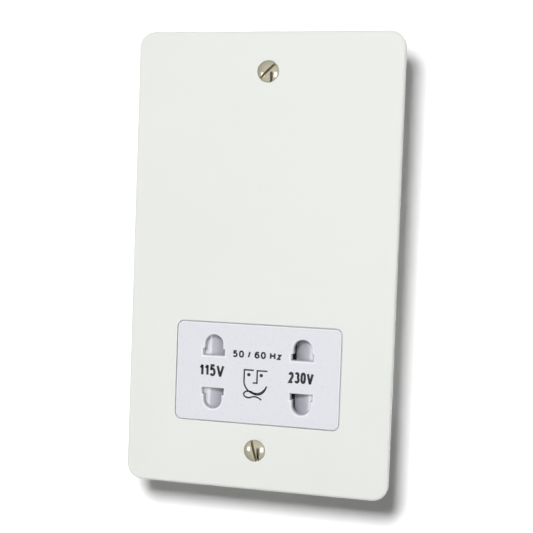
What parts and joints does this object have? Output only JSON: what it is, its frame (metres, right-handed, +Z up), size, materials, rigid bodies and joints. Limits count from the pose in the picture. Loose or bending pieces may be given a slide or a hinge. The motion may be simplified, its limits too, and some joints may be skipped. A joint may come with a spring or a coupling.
{
  "type": "shaver socket",
  "caption": "Vertical white wall plate with a shuttered two-voltage shaver outlet at its foot, two slotted screws and an isolating transformer behind.",
  "frame": {"origin": "middle of the plate, on the plane of its rim that meets the wall", "axes": "+Z up, the front faces -Y, +X to the right seen from the front"},
  "size_m": [0.086, 0.0507, 0.146],
  "materials": {
    "white_coat": "smooth satin coat",
    "nickel": "polished nickel",
    "outlet_moulding": "semi-gloss moulding",
    "shutter_moulding": "glossy moulding",
    "spring_bronze": "spring bronze",
    "black_moulding": "matt moulding",
    "contact_brass": "bright brass",
    "base_board": "laminated board",
    "plated_steel": "zinc plated",
    "core_steel": "varnished laminations",
    "bobbin_nylon": "natural nylon",
    "winding_tape": "copper wire under amber tape",
    "tinned_brass": "tinned",
    "cutout_case": "matt case",
    "terminal_moulding": "matt moulding",
    "housing_moulding": "matt moulding",
    "brown_sleeve": "wire sleeve",
    "blue_sleeve": "wire sleeve",
    "green_sleeve": "green and yellow wire sleeve",
    "black_sleeve": "wire sleeve",
    "grey_sleeve": "wire sleeve",
    "red_sleeve": "wire sleeve"
  },
  "bodies": {
    "socket": {"front_plate": "white_coat", "fixing_screws": "nickel", "socket_cover": "outlet_moulding", "shutter_spring_left": "spring_bronze", "shutter_spring_right": "spring_bronze", "contact_carrier": "black_moulding", "common_contact": "contact_brass", "contact_115v": "contact_brass", "contact_230v": "contact_brass", "carrier_base": "base_board", "socket_studs": "plated_steel", "core_studs": "plated_steel", "earth_stud": "plated_steel", "stud_nuts": "plated_steel", "core_spacers": "plated_steel", "core_e_stack": "core_steel", "core_i_stack": "core_steel", "bobbin": "bobbin_nylon", "primary_winding": "winding_tape", "secondary_winding": "winding_tape", "bobbin_pins": "tinned_brass", "thermal_cutout": "cutout_case", "terminal_block": "terminal_moulding", "terminal_clamps": "contact_brass", "terminal_screws": "plated_steel", "rear_housing": "housing_moulding", "earth_tag": "tinned_brass", "live_lead": "brown_sleeve", "neutral_lead": "blue_sleeve", "earth_lead": "green_sleeve", "common_lead": "black_sleeve", "lead_115v": "grey_sleeve", "lead_230v": "red_sleeve"},
    "shutter": {"shutter_slider": "shutter_moulding"}
  },
  "joints": [
    {"name": "shutter_slide", "type": "slide", "parent": "socket", "child": "shutter", "axis": [1, 0, 0], "range_m": [-0.0063, 0.0063], "stiffness_N_per_m": 60, "deforming": ["shutter_spring_left", "shutter_spring_right"]}
  ]
}
